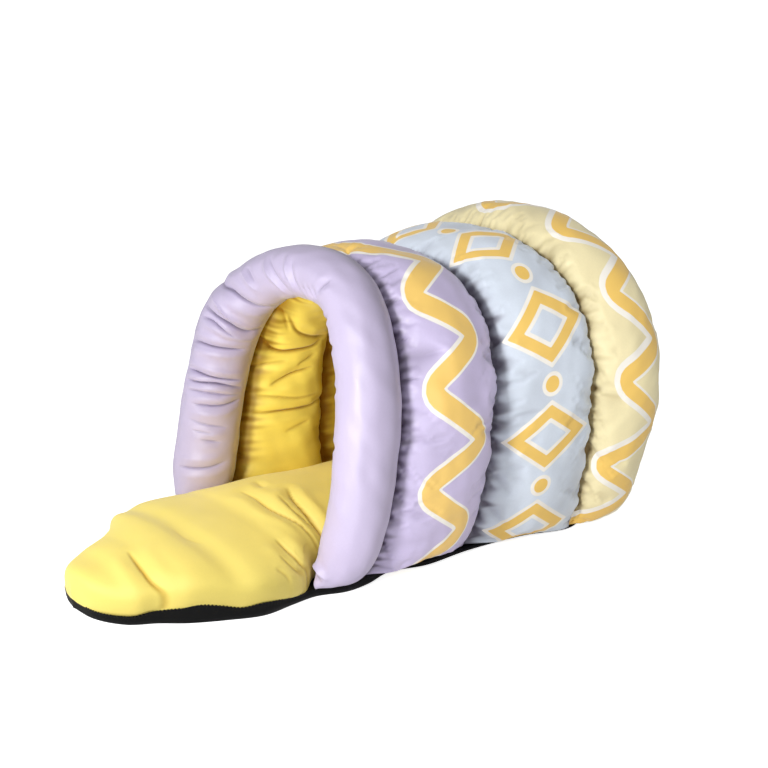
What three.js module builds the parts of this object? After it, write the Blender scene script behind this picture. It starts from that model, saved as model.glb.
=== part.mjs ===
// Dog cave bed in the form of an egg that lies on its side with its front broken open.
// Three stuffed bands and an end panel make the shell, each with a stuffed lining. A stuffed roll
// edges the mouth, and a stuffed mat covers the floor of the cave and runs out of the mouth as a
// lobed tongue. A dark padded underside carries them all.
//
// Sizes are in millimetres. +Y runs from the mouth to the closed end, +X is to the right of
// someone who looks in and +Z is up. The origin is on the floor under the middle of the mouth.
import * as THREE from 'three';
import { ParametricGeometry } from 'three/addons/geometries/ParametricGeometry.js';
import { mergeVertices } from 'three/addons/utils/BufferGeometryUtils.js';

// Clear space between neighbouring pieces.
const GAP = 0.3;

const COLOURS = {
  roll: 0xcdbfe9,
  lining: 0xf0bf3c,
  mat: 0xf3cc4e,
  end: 0xeed9a0,
  underside: 0x0b0b0d,
};
const ROUGHNESS = 0.7;

// Height of the seam between the underside and the pieces on it, from the tongue backwards.
const SEAM = [
  { y: -230, height: 8.5 },
  { y: -200, height: 9.5 },
  { y: -185, height: 13.5 },
  { y: -165, height: 16.5 },
  { y: -148, height: 20 },
  { y: -128, height: 17 },
  { y: -110, height: 13 },
  { y: -90, height: 15 },
  { y: -55, height: 11 },
  { y: -42, height: 9.5 },
  { y: -28, height: 10.5 },
  { y: 30, height: 10.5 },
  { y: 90, height: 7.5 },
  { y: 175, height: 5.5 },
  { y: 310, height: 3 },
];

// Roll round the mouth. Its centre line lies in a plane that leans back by so many degrees. Each
// end narrows over flatLength to a flat seam, which keeps seamShare of the full width.
const ROLL = { lean: 10.3, flatLength: 60, seamShare: 0.8, foldRadius: 33, steps: 110, sides: 18 };

// Sections of the roll, left foot to right foot: place across, rise over the underside, radius.
const ROLL_SECTIONS = [
  { x: -145, rise: 0, radius: 35 },
  { x: -146, rise: 76, radius: 36 },
  { x: -142, rise: 152, radius: 34.5 },
  { x: -124, rise: 223, radius: 34.5 },
  { x: -70, rise: 275, radius: 29 },
  { x: 3, rise: 299, radius: 28 },
  { x: 75, rise: 287, radius: 30 },
  { x: 119, rise: 226, radius: 32.5 },
  { x: 137, rise: 150, radius: 33 },
  { x: 139, rise: 76, radius: 31 },
  { x: 119, rise: 0, radius: 32 },
];

// Folds that the bend presses into the roll, as lines: length along the roll from its left foot, and
// turn round it in degrees. foldRadius turns degrees into lengths round the roll.
const ROLL_FOLDS = [
  { fromRun: 256, fromTurn: 318, toRun: 286, toTurn: 226, depth: 7, width: 8 },
  { fromRun: 286, fromTurn: 226, toRun: 296, toTurn: 172, depth: 7, width: 8 },
  { fromRun: 230, fromTurn: 300, toRun: 241, toTurn: 225, depth: 7, width: 7 },
  { fromRun: 241, fromTurn: 225, toRun: 243, toTurn: 155, depth: 7, width: 7 },
  { fromRun: 190, fromTurn: 295, toRun: 205, toTurn: 178, depth: 5, width: 7 },
  { fromRun: 154, fromTurn: 288, toRun: 159, toTurn: 165, depth: 6, width: 8 },
  { fromRun: 126, fromTurn: 250, toRun: 138, toTurn: 160, depth: 4, width: 7 },
  { fromRun: 50, fromTurn: 265, toRun: 63, toTurn: 175, depth: 3, width: 7 },
  { fromRun: 306, fromTurn: 298, toRun: 322, toTurn: 245, depth: 2.5, width: 7 },
  { fromRun: 346, fromTurn: 298, toRun: 372, toTurn: 215, depth: 3, width: 7 },
  { fromRun: 386, fromTurn: 292, toRun: 399, toTurn: 225, depth: 3, width: 7 },
];

// Seam arches behind the roll. Each stands on two feet:
//   y              where its feet stand
//   lean           degrees that it leans back
//   halfWidth      half width at its waist, the widest place
//   waist, height  heights of the waist and of the top
//   shoulder       how square it is between waist and top; 0.55 is half an ellipse
//   footHalfWidth  half width at the feet
//   tilt           degrees that the stuffing there swells backwards
//   skew           how much further back its right side stands than its middle
const ARCHES = {
  second: {
    y: 166, lean: 6.3, halfWidth: 139, waist: 147, height: 292, shoulder: 0.73,
    footHalfWidth: 119, tilt: 0, skew: 9,
  },
  third: {
    y: 308, lean: 1.2, halfWidth: 170, waist: 169, height: 314, shoulder: 0.63,
    footHalfWidth: 150, tilt: 8, skew: 0,
  },
  end: {
    y: 421, lean: -3.8, halfWidth: 149, waist: 174, height: 292, shoulder: 0.55,
    footHalfWidth: 75, tilt: 40, skew: 0,
  },
};

// Bands of the shell: the seams that each is sewn between, and how far its stuffing swells
// outwards from them and, under the lining, inwards. droop is how far downwards the swell may point
// at the feet. From the front seam it rises as a half sine to a power, so a little more slowly than
// to the back one.
const BANDS = [
  { name: 'lilac', from: 'mouth', to: 'second', outside: 32, inside: 30, droop: 0.1, colour: 0xbfa9e2 },
  { name: 'blue', from: 'second', to: 'third', outside: 26, inside: 28, droop: 0.5, colour: 0xbccbe2 },
  { name: 'cream', from: 'third', to: 'end', outside: 47, inside: 26, droop: 1, colour: 0xeed9a0 },
];
const FRONT_POWER = 1.08;
const BAND_STEPS = { across: 10, along: 44 };
const FRONT_STEPS = { across: 10, along: 64 };
const FOLDED_STEPS = { across: 14, along: 64 };

// A band draws in over so much of its length to its seam with the underside, where a share of
// its swell is left.
const FOOT = { round: 48, share: 0.1 };

// Folds of the front lining on the left wall of the cave, as lines in depth and height.
const LINING_FOLDS = [
  { fromY: 72, fromZ: 210, toY: 90, toZ: 190, depth: 7, width: 9 },
  { fromY: 90, fromZ: 190, toY: 156, toZ: 190, depth: 7, width: 8 },
  { fromY: 94, fromZ: 236, toY: 115, toZ: 210, depth: 6, width: 8 },
  { fromY: 115, fromZ: 210, toY: 166, toZ: 195, depth: 6, width: 8 },
  { fromY: 62, fromZ: 172, toY: 104, toZ: 177, depth: 3, width: 7 },
  { fromY: 84, fromZ: 149, toY: 140, toZ: 163, depth: 6, width: 8 },
  { fromY: 70, fromZ: 138, toY: 150, toZ: 127, depth: 4, width: 7 },
  { fromY: 66, fromZ: 116, toY: 156, toZ: 115, depth: 6, width: 8 },
  { fromY: 100, fromZ: 90, toY: 135, toZ: 98, depth: 3, width: 9 },
];

// The end panel is sewn into the last arch. Its floor edge takes the rest of its rim.
const END = { outside: 52, inside: 22, archShare: 0.8, around: 55, rings: 5 };

// Mat, from the tip of the tongue to the closed end: its widest line on the left and on the
// right, and how far its crown rises over the seam between them.
const MAT_ROWS = [
  { leftX: -18, leftY: -228, rightX: -18, rightY: -228, crown: 31 },
  { leftX: -46, leftY: -221, rightX: 23, rightY: -222, crown: 32 },
  { leftX: -65, leftY: -202, rightX: 53, rightY: -203, crown: 34 },
  { leftX: -75, leftY: -173, rightX: 71, rightY: -179, crown: 36 },
  { leftX: -87, leftY: -150, rightX: 90, rightY: -156, crown: 36 },
  { leftX: -121, leftY: -125, rightX: 106, rightY: -126, crown: 43 },
  { leftX: -135, leftY: -88, rightX: 122, rightY: -88, crown: 46 },
  { leftX: -133, leftY: -54, rightX: 122, rightY: -54, crown: 51 },
  { leftX: -126, leftY: -36, rightX: 118, rightY: -35, crown: 54 },
  { leftX: -113, leftY: -10, rightX: 98, rightY: -11, crown: 57 },
  { leftX: -108, leftY: 30, rightX: 92, rightY: 30, crown: 60 },
  { leftX: -108, leftY: 90, rightX: 96, rightY: 90, crown: 58 },
  { leftX: -109, leftY: 160, rightX: 104, rightY: 160, crown: 58 },
  { leftX: -117, leftY: 230, rightX: 116, rightY: 230, crown: 56 },
  { leftX: -126, leftY: 290, rightX: 126, rightY: 290, crown: 52 },
  { leftX: -105, leftY: 345, rightX: 105, rightY: 345, crown: 48 },
  { leftX: -68, leftY: 384, rightX: 68, rightY: 384, crown: 44 },
  { leftX: 0, leftY: 404, rightX: 0, rightY: 404, crown: 44 },
];

// The side of the mat is widest at sideHeight over the seam and tucks in below that.
//   topRound, underRound  lengths over which its two ends round off above and below that height
//   shoulder              power of the crown across the mat: the smaller, the squarer
const MAT = { sideHeight: 9, tuck: 2.5, topRound: 75, underRound: 14, shoulder: 0.66 };
const MAT_STEPS = { top: 24, side: 2, along: 74 };

// Folds of the mat: one across the tip of the tongue, and the rest from the right foot of the roll.
const MAT_FOLDS = [
  { fromX: 0, fromY: -171, toX: 58, toY: -178, depth: 5, width: 10 },
  { fromX: 58, fromY: -178, toX: 78, toY: -172, depth: 5, width: 10 },
  { fromX: -6, fromY: 29, toX: 31, toY: 16, depth: 6, width: 10 },
  { fromX: 31, fromY: 16, toX: 104, toY: 12, depth: 7, width: 10 },
  { fromX: -34, fromY: -12, toX: 23, toY: -13, depth: 4, width: 10 },
  { fromX: 23, fromY: -13, toX: 96, toY: -2, depth: 5, width: 10 },
  { fromX: 92, fromY: -52, toX: 124, toY: -40, depth: 5, width: 10 },
];

// Upper edge of the underside, from the tip of the tongue to the closed end.
const UNDERSIDE_ROWS = [
  { leftX: -18, leftY: -227, rightX: -18, rightY: -227 },
  { leftX: -47, leftY: -220, rightX: 22, rightY: -222 },
  { leftX: -64, leftY: -201, rightX: 53, rightY: -203 },
  { leftX: -76, leftY: -171, rightX: 69, rightY: -178 },
  { leftX: -87, leftY: -147, rightX: 87, rightY: -155 },
  { leftX: -114, leftY: -122, rightX: 105, rightY: -122 },
  { leftX: -132, leftY: -88, rightX: 120, rightY: -86 },
  { leftX: -129, leftY: -52, rightX: 118, rightY: -52 },
  { leftX: -128, leftY: -20, rightX: 112, rightY: -20 },
  { leftX: -148, leftY: 10, rightX: 122, rightY: 12 },
  { leftX: -146, leftY: 40, rightX: 121, rightY: 40 },
  { leftX: -134, leftY: 85, rightX: 117, rightY: 78 },
  { leftX: -127, leftY: 115, rightX: 124, rightY: 116 },
  { leftX: -122, leftY: 175, rightX: 125, rightY: 176 },
  { leftX: -136, leftY: 245, rightX: 136, rightY: 250 },
  { leftX: -151, leftY: 308, rightX: 152, rightY: 310 },
  { leftX: -120, leftY: 366, rightX: 120, rightY: 366 },
  { leftX: -76, leftY: 424, rightX: 76, rightY: 424 },
  { leftX: 0, leftY: 427, rightX: 0, rightY: 427 },
];
const UNDERSIDE = { bulge: 1.5, tuck: 3, steps: 90 };

// Where a piece narrows to a point its tuck is at most this share of its width.
const TUCK_SHARE = 0.2;

const { clamp, degToRad, lerp } = THREE.MathUtils;

function seamHeight(y) {
  const next = SEAM.findIndex((row) => row.y > y);
  if (next === 0) return SEAM[0].height;
  if (next < 0) return SEAM.at(-1).height;
  const before = SEAM[next - 1];
  const after = SEAM[next];
  return lerp(before.height, after.height, (y - before.y) / (after.y - before.y));
}

// How full a stretch of stuffing is near the two ends of its length, from 0 at an end to 1.
function fullness(share, length, round) {
  const fromEnd = Math.min(share, 1 - share) * length;
  const rest = 1 - Math.min(fromEnd / round, 1);
  return Math.sqrt(1 - rest * rest);
}

// A bell of height 1 about 0.
function bell(distance, width) {
  return Math.exp(-((distance / width) ** 2));
}

// Folds as soft troughs about straight lines in two measures, the second one times a scale. Returns
// the depth at a place.
function makeFolds(rows, first, second, scale = 1) {
  const lines = rows.map((row) => new THREE.Line3(
    new THREE.Vector3(row[`from${first}`], row[`from${second}`] * scale, 0),
    new THREE.Vector3(row[`to${first}`], row[`to${second}`] * scale, 0),
  ));
  const place = new THREE.Vector3();
  const nearest = new THREE.Vector3();
  return (a, b) => {
    place.set(a, b * scale, 0);
    return Math.max(...rows.map((row, i) => {
      lines[i].closestPointToPoint(place, true, nearest);
      return row.depth * bell(nearest.distanceTo(place), row.width);
    }));
  };
}

const liningFolds = makeFolds(LINING_FOLDS, 'Y', 'Z');
const matFolds = makeFolds(MAT_FOLDS, 'X', 'Y');
const rollFolds = makeFolds(ROLL_FOLDS, 'Run', 'Turn', degToRad(ROLL.foldRadius));

// The roll as a path: centre, outward and backward directions and radius at a share of its length.
function makeRoll() {
  const path = new THREE.CatmullRomCurve3(
    ROLL_SECTIONS.map((row) => new THREE.Vector3(row.x, row.rise, row.radius)),
  );
  const length = path.getLength();
  const foot = seamHeight(0) + GAP;
  const at = (share) => {
    const { x, y: rise, z: radius } = path.getPointAt(share);
    const along = path.getTangentAt(share);
    const slope = Math.tan(degToRad(ROLL.lean));
    const full = fullness(share, length, ROLL.flatLength);
    const lean = degToRad(ROLL.lean) * full;
    return {
      centre: new THREE.Vector3(x, rise * slope, foot + rise),
      outwards: new THREE.Vector3(-along.y, along.x * slope, along.x).normalize(),
      backwards: new THREE.Vector3(0, Math.cos(lean), -Math.sin(lean)),
      thickness: radius * full,
      depth: radius * lerp(ROLL.seamShare, 1, full),
    };
  };
  return { length, at };
}

const roll = makeRoll();

// The first seam follows the back of the roll.
const mouthArch = {
  length: roll.length,
  point(share) {
    const { centre, backwards, depth } = roll.at(share);
    return centre.addScaledVector(backwards, depth + 2 * GAP);
  },
  outwards(share) {
    return roll.at(share).outwards;
  },
};

// A seam arch in its own plane: a leg that straightens upwards, two shoulders and a second leg.
function makeArch(row) {
  const foot = seamHeight(row.y) + GAP;
  const knee = (row.waist + foot) / 2;
  const path = new THREE.Path();
  path.moveTo(-row.footHalfWidth, foot);
  path.quadraticCurveTo(-row.halfWidth, knee, -row.halfWidth, row.waist);
  const side = row.waist + row.shoulder * (row.height - row.waist);
  const top = row.shoulder * row.halfWidth;
  path.bezierCurveTo(-row.halfWidth, side, -top, row.height, 0, row.height);
  path.bezierCurveTo(top, row.height, row.halfWidth, side, row.halfWidth, row.waist);
  path.quadraticCurveTo(row.halfWidth, knee, row.footHalfWidth, foot);
  const slope = Math.tan(degToRad(row.lean));
  const backwards = Math.tan(degToRad(row.tilt));
  return {
    length: path.getLength(),
    point(share) {
      const flat = path.getPointAt(share);
      const y = row.y + row.skew * flat.x / row.halfWidth + (flat.y - foot) * slope;
      return new THREE.Vector3(flat.x, y, flat.y);
    },
    outwards(share) {
      const along = path.getTangentAt(share);
      return new THREE.Vector3(-along.y, backwards, along.x).normalize();
    },
  };
}

const arches = { mouth: mouthArch };
for (const [name, row] of Object.entries(ARCHES)) arches[name] = makeArch(row);

// One closed skin from a surface that joins up with itself: shared points are merged, and the
// faces that shrank to nothing at a point or along a sewn end are dropped. side is 1 where the
// surface faces outwards and -1 where it is to be turned.
function closedSkin(surface, around, along, side) {
  const grid = new ParametricGeometry(surface, around, along);
  grid.deleteAttribute('normal');
  grid.deleteAttribute('uv');
  const skin = mergeVertices(grid, GAP / 100);
  const corners = skin.index.array;
  const kept = [];
  for (let i = 0; i < corners.length; i += 3) {
    const [a, b, c] = corners.slice(i, i + 3);
    if (a === b || b === c || c === a) continue;
    if (side > 0) kept.push(a, b, c);
    else kept.push(a, c, b);
  }
  skin.setIndex(kept);
  skin.computeVertexNormals();
  return skin;
}

// One half of a band: the cloth that swells from one seam to the next, and the flat middle that
// parts it from the other half. side is 1 for the outer half and -1 for the lining. The first row
// and the last one close its feet.
function bandSkin(band, side, steps, folds) {
  const front = arches[band.from];
  const back = arches[band.to];
  const swell = side > 0 ? band.outside : band.inside;
  const surface = (u, v, target) => {
    const step = Math.round(u * (steps.across + 1));
    const row = Math.round(v * (steps.along + 2));
    const sole = row === 0 || row === steps.along + 2;
    const along = clamp((row - 1) / steps.along, 0, 1);
    const atFoot = along === 0 || along === 1;
    const angle = step <= steps.across ? (step / steps.across) * Math.PI : 0;
    const share = sole ? 0.5 : (1 - Math.cos(angle)) / 2;
    const start = front.point(along);
    const span = back.point(along).sub(start);
    const out = front.outwards(along).lerp(back.outwards(along), share).normalize();
    out.z = Math.max(out.z, -band.droop);
    const room = span.length() - GAP;
    target.copy(start).addScaledVector(span.normalize(), GAP / 2 + room * share);
    const full = lerp(FOOT.share, 1, fullness(along, front.length, FOOT.round));
    const trough = folds && target.x < 0 ? folds(target.y, target.z) : 0;
    const rise = Math.sin(angle) ** (share < 0.5 ? FRONT_POWER : 1);
    const lift = (sole ? 0.5 : rise) * Math.max(swell * full - trough, 0);
    target.addScaledVector(out, side * (lift + GAP / 2));
    const floor = seamHeight(target.y) + GAP;
    target.z = atFoot ? floor : Math.max(target.z, floor);
  };
  return closedSkin(surface, steps.across + 1, steps.along + 2, -side);
}

// The roll: a tube round its path with the folds of the bend.
function rollSkin() {
  const surface = (u, v, target) => {
    const turn = u * 2 * Math.PI;
    const { centre, outwards, backwards, thickness, depth } = roll.at(v);
    const trough = rollFolds(v * roll.length, u * 360);
    target.copy(centre);
    target.addScaledVector(outwards, Math.cos(turn) * Math.max(thickness - trough, 0));
    target.addScaledVector(backwards, Math.sin(turn) * (depth - trough));
  };
  return closedSkin(surface, ROLL.sides, ROLL.steps, -1);
}

// One half of the end panel: a crowned pad in the last arch. The lining is the flatter at its rim.
function endSkin(side) {
  const arch = arches.end;
  const middle = arch.point(0).lerp(arch.point(1), 0.5);
  middle.lerp(arch.point(0.5), 0.5);
  const rim = (u) => {
    if (u <= END.archShare) return arch.point(u / END.archShare);
    return arch.point(1).lerp(arch.point(0), (u - END.archShare) / (1 - END.archShare));
  };
  const surface = (u, v, target) => {
    const step = Math.round(v * (END.rings + 1));
    const crowned = step <= END.rings;
    const angle = crowned ? (step / END.rings) * Math.PI / 2 : 0;
    const height = Math.cos(angle);
    const crown = side > 0 ? END.outside * height : END.inside * height * height;
    target.lerpVectors(middle, rim(u), Math.sin(angle));
    target.y += side * (GAP / 2 + (crowned ? crown : 0));
  };
  return closedSkin(surface, END.around, END.rings + 1, -side);
}

// Two edges from the tip of the tongue to the closed end, with a third value along them.
function makeRails(rows) {
  const [left, right] = ['left', 'right'].map((side) => new THREE.CatmullRomCurve3(
    rows.map((row) => new THREE.Vector3(row[`${side}X`], row[`${side}Y`], row.crown ?? 0)),
  ));
  return { left, right, length: left.getLength() };
}

// A place between two edges, drawn in by so much from the left one or the right one.
function between(a, b, share, inset, target) {
  const width = a.distanceTo(b);
  const drawn = width > GAP ? Math.min(inset / width, TUCK_SHARE) : 0;
  target.lerpVectors(a, b, lerp(drawn, 1 - drawn, share));
}

// The mat: rounded sides that tuck in to the seam, a broad crown with folds and a flat bottom.
function matSkin() {
  const rails = makeRails(MAT_ROWS);
  const steps = MAT_STEPS.top + 2 * MAT_STEPS.side + 1;
  const surface = (u, v, target) => {
    const left = rails.left.getPoint(v);
    const right = rails.right.getPoint(v);
    const crown = left.z;
    left.z = 0;
    right.z = 0;
    const step = Math.round(u * steps) % steps;
    const topStep = clamp(step - MAT_STEPS.side, 0, MAT_STEPS.top);
    const lowStep = Math.max(MAT_STEPS.side - step, step - MAT_STEPS.side - MAT_STEPS.top, 0);
    const angle = (topStep / MAT_STEPS.top) * Math.PI;
    const under = (lowStep / MAT_STEPS.side) * Math.PI / 2;
    between(left, right, (1 - Math.cos(angle)) / 2, MAT.tuck * (1 - Math.cos(under)), target);
    const above = Math.sin(angle) ** MAT.shoulder * (crown - MAT.sideHeight);
    const trough = Math.sin(angle) ** MAT.shoulder * matFolds(target.x, target.y);
    const rise = (above - trough) * fullness(v, rails.length, MAT.topRound);
    const drop = Math.sin(under) * MAT.sideHeight * fullness(v, rails.length, MAT.underRound);
    target.z = seamHeight(target.y) + 2 * GAP + MAT.sideHeight + rise - drop;
  };
  return closedSkin(surface, steps, MAT_STEPS.along, 1);
}

// The underside: flat on the floor, with a wall that bulges a little and tucks in at the bottom.
function undersideSkin() {
  const rails = makeRails(UNDERSIDE_ROWS);
  const wall = [
    { share: 0, height: 1, inset: 0 },
    { share: 1, height: 1, inset: 0 },
    { share: 1, height: 0.5, inset: -UNDERSIDE.bulge },
    { share: 1, height: 0, inset: UNDERSIDE.tuck },
    { share: 0, height: 0, inset: UNDERSIDE.tuck },
    { share: 0, height: 0.5, inset: -UNDERSIDE.bulge },
  ];
  const surface = (u, v, target) => {
    const { share, height, inset } = wall[Math.round(u * wall.length) % wall.length];
    between(rails.left.getPoint(v), rails.right.getPoint(v), share, inset, target);
    target.z = seamHeight(target.y) * height;
  };
  return closedSkin(surface, wall.length, UNDERSIDE.steps, 1);
}

function pieceMesh(name, skin, colour) {
  const material = new THREE.MeshStandardMaterial({ color: colour, roughness: ROUGHNESS, metalness: 0 });
  const mesh = new THREE.Mesh(skin, material);
  mesh.name = name;
  return mesh;
}

const bed = new THREE.Group();
bed.name = 'cave_bed';
for (const band of BANDS) {
  const folded = band.from === 'mouth';
  const outer = bandSkin(band, 1, folded ? FRONT_STEPS : BAND_STEPS);
  const inner = folded ? bandSkin(band, -1, FOLDED_STEPS, liningFolds) : bandSkin(band, -1, BAND_STEPS);
  bed.add(pieceMesh(`band_${band.name}`, outer, band.colour));
  bed.add(pieceMesh(`lining_${band.name}`, inner, COLOURS.lining));
}
bed.add(pieceMesh('mouth_roll', rollSkin(), COLOURS.roll));
bed.add(pieceMesh('end_panel', endSkin(1), COLOURS.end));
bed.add(pieceMesh('end_lining', endSkin(-1), COLOURS.lining));
bed.add(pieceMesh('mat', matSkin(), COLOURS.mat));
bed.add(pieceMesh('underside', undersideSkin(), COLOURS.underside));

export default bed;
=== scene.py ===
"""Dog cave bed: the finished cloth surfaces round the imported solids, with materials, light and camera.

Sizes are in millimetres up to the meshes, which are in metres. +Y runs from the mouth to the closed
end, +X is to the right of someone who looks in, and +Z is up.
"""
import math

import bpy
import numpy as np
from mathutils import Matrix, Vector


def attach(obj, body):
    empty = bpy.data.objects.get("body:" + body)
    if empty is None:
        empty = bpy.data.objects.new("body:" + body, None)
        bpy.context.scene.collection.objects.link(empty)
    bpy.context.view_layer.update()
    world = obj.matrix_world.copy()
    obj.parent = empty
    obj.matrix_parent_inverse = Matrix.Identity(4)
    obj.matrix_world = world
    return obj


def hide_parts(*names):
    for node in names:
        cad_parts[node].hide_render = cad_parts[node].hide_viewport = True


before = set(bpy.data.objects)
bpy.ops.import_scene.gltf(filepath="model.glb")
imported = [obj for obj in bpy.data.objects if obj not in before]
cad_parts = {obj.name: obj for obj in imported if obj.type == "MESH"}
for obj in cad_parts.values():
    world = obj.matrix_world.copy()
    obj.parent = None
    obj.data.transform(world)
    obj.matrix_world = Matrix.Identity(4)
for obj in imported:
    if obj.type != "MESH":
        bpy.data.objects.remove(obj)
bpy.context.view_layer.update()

MM = 0.001
TINY = 1e-9
# Room between sewn pieces, so that no two of them touch.
GAP = 0.3

# Seam between the underside and the pieces on it: place along the bed and height.
SEAM_ROWS = (
    (-230, 8.5),
    (-200, 9.5),
    (-185, 13.5),
    (-165, 16.5),
    (-148, 20),
    (-128, 17),
    (-110, 13),
    (-90, 15),
    (-55, 11),
    (-42, 9.5),
    (-28, 10.5),
    (30, 10.5),
    (90, 7.5),
    (175, 5.5),
    (310, 3),
)

# Roll round the mouth, left foot to right foot: place across, rise over the underside, radius.
ROLL_SECTIONS = (
    (-145, 0, 35),
    (-146, 76, 36),
    (-142, 152, 34.5),
    (-124, 223, 34.5),
    (-70, 275, 29),
    (3, 299, 28),
    (75, 287, 30),
    (119, 226, 32.5),
    (137, 150, 33),
    (139, 76, 31),
    (119, 0, 32),
)
# Its lean in degrees, the length over which its ends flatten, its depth there as a share, and its
# least half thickness.
ROLL_LEAN = 10.3
ROLL_FLAT = 60
ROLL_SEAM_SHARE = 0.8
ROLL_THINNEST = 1

# Seam arches behind the roll: place of the feet, lean in degrees, half width at the waist, heights of
# waist and top, how square the shoulders are (0.55 is half an ellipse), half width at the feet,
# backward tilt of the stuffing in degrees, skew of the sides.
ARCHES = {
    "second": (166, 6.3, 139, 147, 292, 0.73, 119, 0, 9),
    "third": (308, 1.2, 170, 169, 314, 0.63, 150, 8, 0),
    "end": (421, -3.8, 149, 174, 292, 0.55, 75, 40, 0),
}

# Bands of the shell: the two seams of each, how far it swells outwards and inwards, and how far
# downwards its swell may point at the feet.
BANDS = {
    "lilac": ("mouth", "second", 32, 30, 0.1),
    "blue": ("second", "third", 26, 28, 0.5),
    "cream": ("third", "end", 47, 26, 1),
}
# Length over which a band's swell falls off at its feet, the share of it that stays there, and how
# slowly the swell rises from the front seam (1 is half an ellipse).
FOOT_ROUND = 48
FOOT_SHARE = 0.1
FRONT_POWER = 1.08

# Folds of the roll: depth (below 0 for a ridge), half width, and places on the line of the fold, each
# the length along the roll from its left foot and the turn round it in degrees.
ROLL_FOLDS = (
    (8, 7, ((254, 330), (262, 300), (276, 269), (286, 226), (289, 207), (296, 172))),
    (-3, 4, ((337, 300), (345, 270), (352, 248), (361, 222), (364, 192))),
    (2.5, 5, ((346, 298), (358, 258), (372, 215))),
    (-3, 4, ((376, 300), (383, 265), (390, 240), (392, 215))),
    (2.5, 4, ((386, 292), (392, 262), (399, 225))),
    (-2.5, 4, ((297, 300), (307, 268), (316, 236))),
    (2.5, 5, ((306, 298), (318, 255))),
    (8, 6, ((230, 300), (235, 272), (241, 225), (239, 186), (244, 150))),
    (5, 4, ((222, 285), (230, 250), (229, 205))),
    (-3, 4, ((248, 290), (253, 250), (252, 215))),
    (6.5, 5, ((190, 300), (195, 272), (199, 234), (206, 175))),
    (7, 4, ((160, 290), (162, 259), (162, 218), (163, 165))),
    (7, 4, ((148, 285), (151, 257), (156, 214), (154, 162))),
    (4, 5, ((139, 275), (142, 240), (145, 165))),
    (5, 5, ((126, 250), (129, 200), (138, 158))),
    (2.5, 5, ((107, 255), (105, 224), (104, 180))),
    (2, 4, ((96, 245), (95, 205))),
    (2.5, 4, ((87, 225), (86, 190))),
    (4, 5, ((50, 268), (55, 206), (63, 172))),
    (3.5, 4, ((441, 258), (448, 296))),
    (2.5, 3, ((409, 244), (418, 215))),
    (2.5, 3, ((420, 252), (430, 225))),
    (2.5, 3, ((429, 255), (442, 240))),
    (3.5, 3.5, ((470, 212), (474, 246))),
    (3, 3.5, ((506, 214), (508, 244))),
    (3, 3.5, ((556, 214), (554, 242))),
    (3, 3.5, ((612, 214), (614, 242))),
    (-3, 4, ((743, 228), (742, 262), (746, 305))),
    (4.5, 4, ((750, 238), (750, 288))),
)
# Radius that turns an angle round the roll into cloth, reach of the painted shade along its seam, and
# how strongly its folds get painted shade.
ROLL_SIZE = 33
ROLL_SEAM_REACH = 18
ROLL_FOLD_SHADE = 0.75

# Folds of the front lining on the left wall: depth, half width, and places of depth and height.
LINING_FOLDS = (
    (8, 8, ((72, 210), (77, 203), (85, 193), (98, 188), (121, 187), (145, 188), (156, 192))),
    (6, 7, ((94, 236), (97, 231), (105, 221), (115, 210), (135, 201), (166, 195))),
    (3.5, 7, ((80, 248), (84, 243), (93, 229), (102, 214))),
    (3, 6, ((62, 171), (81, 176), (104, 177))),
    (6, 7, ((84, 149), (97, 154), (113, 159), (140, 163))),
    (3, 6, ((116, 170), (146, 179))),
    (4, 6, ((70, 138), (91, 134), (121, 128), (150, 127))),
    (7, 6, ((66, 116), (90, 116), (117, 115), (143, 114), (156, 117))),
    (3, 9, ((100, 90), (135, 98))),
)

# Folds that fan out from the mouth seam over the first band: depth, half width, and places of length
# from the band's top and distance from the seam.
LILAC_FOLDS = (
    (2.5, 6, ((-36, 45), (-8, 36), (20, 21))),
    (2, 4, ((30, 19), (43, 30))),
    (2.5, 5, ((65, 16), (66, 44))),
    (2.5, 4, ((86, 8), (93, 27))),
    (2.5, 4, ((125, 6), (131, 26))),
    (2.5, 4, ((166, 8), (167, 30))),
)

# The end panel: how far it swells outwards and inwards, the share of its rim on the arch, the angle of
# its first ring, the distances from the rim at its middle along the panel and over its crown, how far
# from the rim its relief is full, and the depth of a gather where its painted shade is full.
END_OUTSIDE = 52
END_INSIDE = 22
END_ARCH_SHARE = 0.8
END_MIDDLE = 0.02
END_ACROSS = 150
END_OVER = 40
END_SEWN = 12
END_FULL_SHADE = 6

# Mat from the tip of the tongue to the closed end: its widest line on the left and on the right,
# and how far its crown rises over the seam.
MAT_ROWS = (
    (-18, -228, -18, -228, 31),
    (-46, -221, 23, -222, 32),
    (-65, -202, 53, -203, 34),
    (-75, -173, 71, -179, 36),
    (-87, -150, 90, -156, 36),
    (-121, -125, 106, -126, 43),
    (-135, -88, 122, -88, 46),
    (-133, -54, 122, -54, 51),
    (-126, -36, 118, -35, 54),
    (-113, -10, 98, -11, 57),
    (-108, 30, 92, 30, 60),
    (-108, 90, 96, 90, 58),
    (-109, 160, 104, 160, 58),
    (-117, 230, 116, 230, 56),
    (-126, 290, 126, 290, 52),
    (-105, 345, 105, 345, 48),
    (-68, 384, 68, 384, 44),
    (0, 404, 0, 404, 44),
)
# Height of its round side, how far that tucks in, the lengths over which crown and side rise from the
# tip, and the power of the half sine across.
MAT_SIDE = 9
MAT_TUCK = 2.5
MAT_TOP_ROUND = 75
MAT_UNDER_ROUND = 14
MAT_SHOULDER = 0.66

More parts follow.
